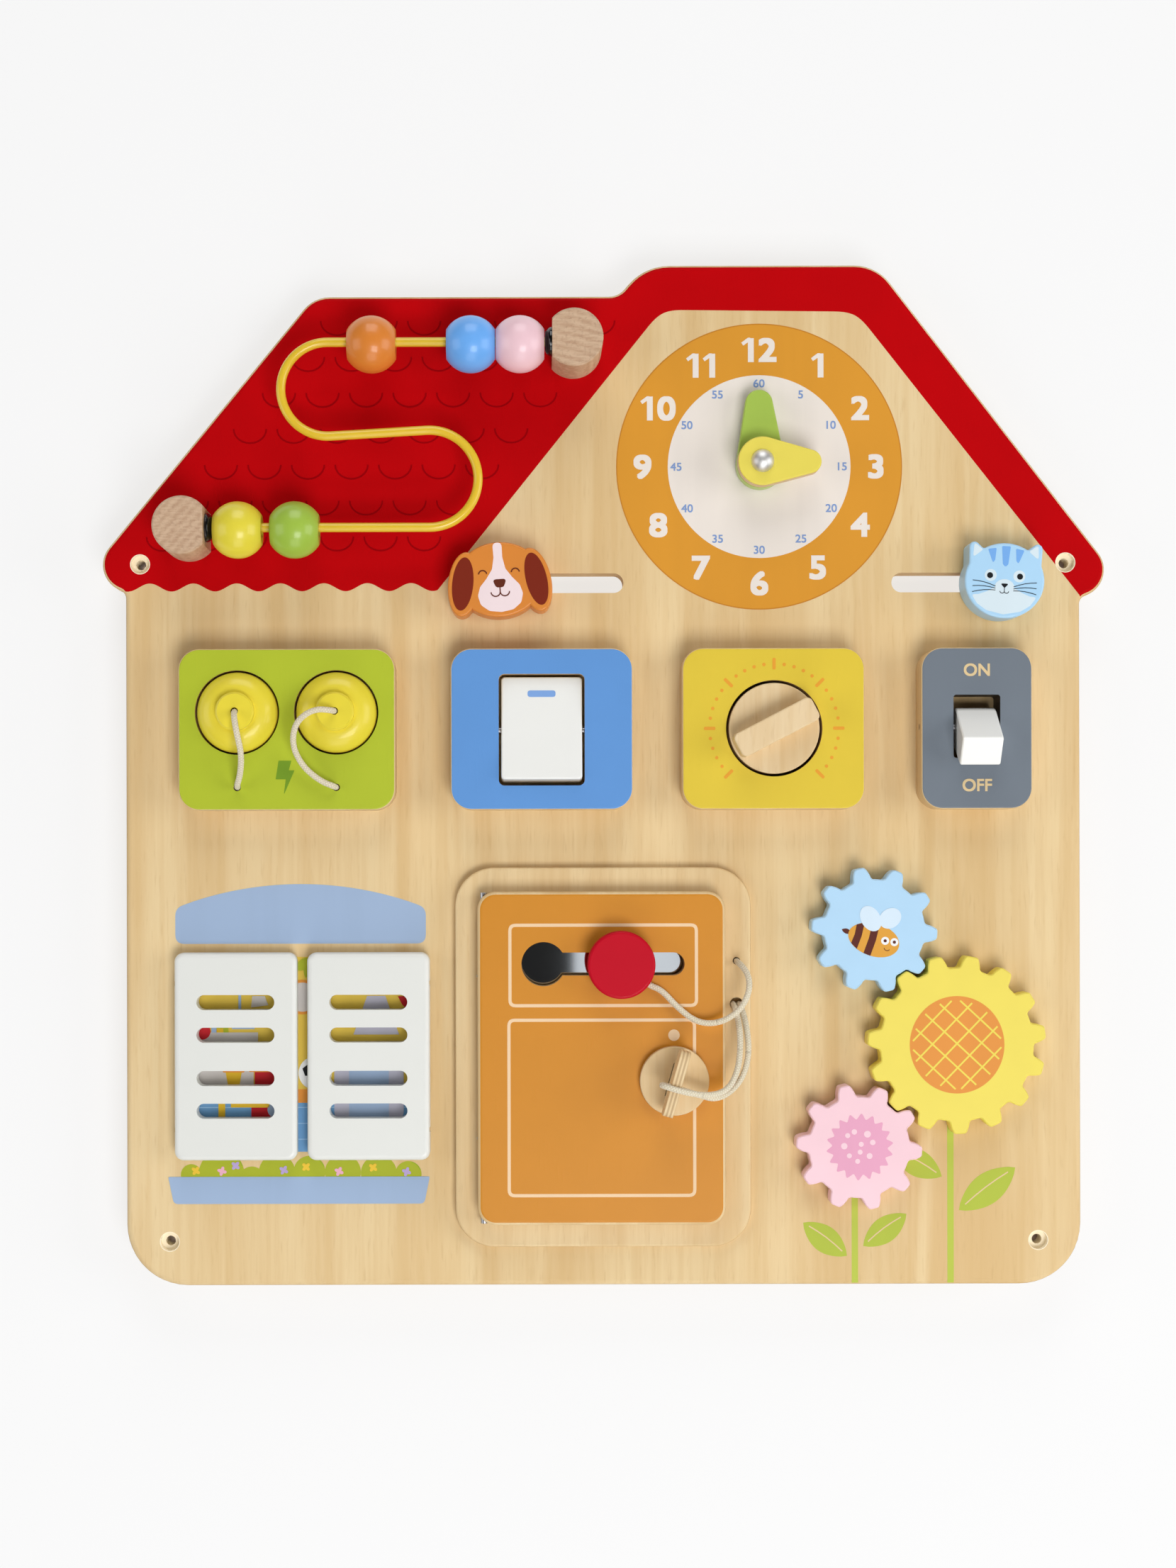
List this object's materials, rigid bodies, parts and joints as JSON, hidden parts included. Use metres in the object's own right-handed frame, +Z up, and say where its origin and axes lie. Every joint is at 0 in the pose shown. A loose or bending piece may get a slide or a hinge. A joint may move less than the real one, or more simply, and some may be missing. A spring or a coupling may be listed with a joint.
{
  "type": "wall-mounted busy board",
  "caption": "House-shaped wooden busy board for a wall, with sliding beads, clock hands, plugs, switches, shutters, a locking door and gears to play with",
  "frame": {"origin": "half way between the two upper wall screw holes, in the plane of the wall behind the board", "axes": "+Y into the wall, so the play side faces -Y; +Z up; +X to the right of someone facing the board"},
  "size_m": [0.4412, 0.0621, 0.4488],
  "materials": {
    "board_red_and_birch": "printed red lacquer over birch plywood, bare rounded edges",
    "birch": "clear satin birch",
    "beech_dowel": "clear satin end grain",
    "green_print": "matt printed colour on birch",
    "blue_print": "matt printed colour on birch",
    "yellow_print": "matt printed colour on birch",
    "grey_print": "matt printed colour on birch",
    "white_lacquer": "white lacquer",
    "yellow_lacquer": "glossy lacquer",
    "green_lacquer": "glossy lacquer",
    "orange_lacquer": "glossy lacquer",
    "blue_lacquer": "glossy lacquer",
    "pink_lacquer": "glossy lacquer",
    "sky_lacquer": "satin lacquer",
    "red_lacquer": "glossy lacquer",
    "dog_print": "printed face on birch",
    "cat_print": "printed face on birch",
    "door_print": "printed orange on birch",
    "wire_coat": "yellow powder-coated steel",
    "black_plastic": "moulded nylon",
    "steel": "zinc plated",
    "chrome": "polished",
    "mirror": "acrylic mirror",
    "cord": "waxed cotton"
  },
  "bodies": {
    "board": {"main_board": "board_red_and_birch", "wall_spacers": "beech_dowel", "back_screws": "steel", "bead_wire": "wire_coat", "upper_wire_block": "beech_dowel", "lower_wire_block": "beech_dowel", "wire_caps": "black_plastic", "clock_bolt": "chrome", "clock_nut": "steel", "spacer_washers": "black_plastic", "green_socket_panel": "green_print", "blue_switch_panel": "blue_print", "rocker_pin": "steel", "yellow_dial_panel": "yellow_print", "grey_toggle_panel": "grey_print", "toggle_pin": "steel", "shutter_hinge_eyes": "steel", "door_back_plate": "birch", "door_mirror": "mirror", "door_hinge_eyes": "steel", "left_plug_cord": "cord", "right_plug_cord": "cord", "knob_tether": "cord", "key_tether": "cord"},
    "orange_bead": {"orange_bead": "orange_lacquer"},
    "blue_bead": {"blue_bead": "blue_lacquer"},
    "pink_bead": {"pink_bead": "pink_lacquer"},
    "yellow_bead": {"yellow_bead": "yellow_lacquer"},
    "green_bead": {"green_bead": "green_lacquer"},
    "minute_hand": {"minute_hand": "green_lacquer"},
    "hour_hand": {"hour_hand": "yellow_lacquer"},
    "dog_slider": {"dog_slider": "dog_print", "dog_slider_stem": "birch"},
    "cat_slider": {"cat_slider": "cat_print", "cat_slider_stem": "birch"},
    "left_plug": {"left_plug": "yellow_lacquer"},
    "right_plug": {"right_plug": "yellow_lacquer"},
    "rocker": {"rocker": "white_lacquer"},
    "dial": {"dial_knob": "birch", "dial_grip": "birch", "dial_spindle": "birch"},
    "toggle": {"toggle_lever": "white_lacquer"},
    "left_shutter": {"left_shutter": "white_lacquer", "left_shutter_pins": "steel"},
    "right_shutter": {"right_shutter": "white_lacquer", "right_shutter_pins": "steel"},
    "door": {"door": "door_print", "door_hinge_pins": "steel"},
    "sliding_knob": {"sliding_knob": "red_lacquer", "sliding_knob_stem": "birch"},
    "lock": {"lock_disc": "birch", "latch_bar": "steel", "latch_screw": "steel"},
    "key": {"key": "birch"},
    "blue_gear": {"blue_gear": "sky_lacquer", "blue_gear_spindle": "birch"},
    "yellow_gear": {"yellow_gear": "yellow_lacquer", "yellow_gear_spindle": "birch"},
    "pink_gear": {"pink_gear": "pink_lacquer", "pink_gear_spindle": "birch"}
  },
  "joints": [
    {"name": "orange_bead_slide", "type": "slide", "parent": "board", "child": "orange_bead", "axis": [1, 0, 0], "range_m": [-0.008, 0.021]},
    {"name": "blue_bead_slide", "type": "slide", "parent": "board", "child": "blue_bead", "axis": [1, 0, 0], "range_m": [-0.021, 0]},
    {"name": "pink_bead_slide", "type": "slide", "parent": "board", "child": "pink_bead", "axis": [1, 0, 0], "range_m": [-0.021, 0]},
    {"name": "yellow_bead_slide", "type": "slide", "parent": "board", "child": "yellow_bead", "axis": [1, 0, 0], "range_m": [0, 0.0032]},
    {"name": "green_bead_slide", "type": "slide", "parent": "board", "child": "green_bead", "axis": [1, 0, 0], "range_m": [-0.0032, 0.047]},
    {"name": "minute_hand_turn", "type": "hinge", "parent": "board", "child": "minute_hand", "pos_m": [0.0689, -0.024, 0.0424], "axis": [0, 1, 0], "continuous": true},
    {"name": "hour_hand_turn", "type": "hinge", "parent": "board", "child": "hour_hand", "pos_m": [0.0689, -0.024, 0.0424], "axis": [0, 1, 0], "continuous": true},
    {"name": "dog_slide", "type": "slide", "parent": "board", "child": "dog_slider", "axis": [1, 0, 0], "range_m": [0, 0.049]},
    {"name": "cat_slide", "type": "slide", "parent": "board", "child": "cat_slider", "axis": [-1, 0, 0], "range_m": [0, 0.042]},
    {"name": "left_plug_pull", "type": "slide", "parent": "board", "child": "left_plug", "axis": [0, -1, 0], "range_m": [0, 0.016], "deforming": ["left_plug_cord"]},
    {"name": "right_plug_pull", "type": "slide", "parent": "board", "child": "right_plug", "axis": [0, -1, 0], "range_m": [0, 0.016], "deforming": ["right_plug_cord"]},
    {"name": "rocker_tilt", "type": "hinge", "parent": "board", "child": "rocker", "pos_m": [-0.0271, -0.0325, -0.0739], "axis": [1, 0, 0], "range_deg": [0, 14]},
    {"name": "dial_turn", "type": "hinge", "parent": "board", "child": "dial", "pos_m": [0.0737, -0.024, -0.0735], "axis": [0, 1, 0], "continuous": true},
    {"name": "toggle_flip", "type": "hinge", "parent": "board", "child": "toggle", "pos_m": [0.1616, -0.033, -0.0728], "axis": [-1, 0, 0], "range_deg": [0, 68]},
    {"name": "left_shutter_swing", "type": "hinge", "parent": "board", "child": "left_shutter", "pos_m": [-0.1837, -0.029, -0.216], "axis": [0, 0, -1], "range_deg": [0, 115]},
    {"name": "right_shutter_swing", "type": "hinge", "parent": "board", "child": "right_shutter", "pos_m": [-0.0801, -0.029, -0.216], "axis": [0, 0, 1], "range_deg": [0, 115]},
    {"name": "door_swing", "type": "hinge", "parent": "board", "child": "door", "pos_m": [-0.0525, -0.034, -0.21655], "axis": [0, 0, -1], "range_deg": [0, 36], "deforming": ["knob_tether", "key_tether"]},
    {"name": "knob_slide", "type": "slide", "parent": "door", "child": "sliding_knob", "axis": [1, 0, 0], "range_m": [-0.0334, 0.0228], "deforming": ["knob_tether"]},
    {"name": "lock_turn", "type": "hinge", "parent": "door", "child": "lock", "pos_m": [0.03, -0.0385, -0.2261], "axis": [0, -1, 0], "range_deg": [-74, 16], "deforming": ["key_tether"]},
    {"name": "key_pull", "type": "slide", "parent": "lock", "child": "key", "axis": [0, -1, 0], "range_m": [0, 0.012], "deforming": ["key_tether"]},
    {"name": "yellow_gear_turn", "type": "hinge", "parent": "board", "child": "yellow_gear", "pos_m": [0.1534, -0.024, -0.2112], "axis": [0, 1, 0], "continuous": true},
    {"name": "blue_gear_turn", "type": "hinge", "parent": "board", "child": "blue_gear", "pos_m": [0.1176, -0.024, -0.1611], "axis": [0, 1, 0], "continuous": true},
    {"name": "pink_gear_turn", "type": "hinge", "parent": "board", "child": "pink_gear", "pos_m": [0.1108, -0.024, -0.2558], "axis": [0, 1, 0], "continuous": true}
  ],
  "couplings": [
    {"joint": "pink_bead_slide", "follows": "blue_bead_slide", "ratio": 1},
    {"joint": "blue_gear_turn", "follows": "yellow_gear_turn", "ratio": -1.5},
    {"joint": "pink_gear_turn", "follows": "yellow_gear_turn", "ratio": -1.5}
  ]
}
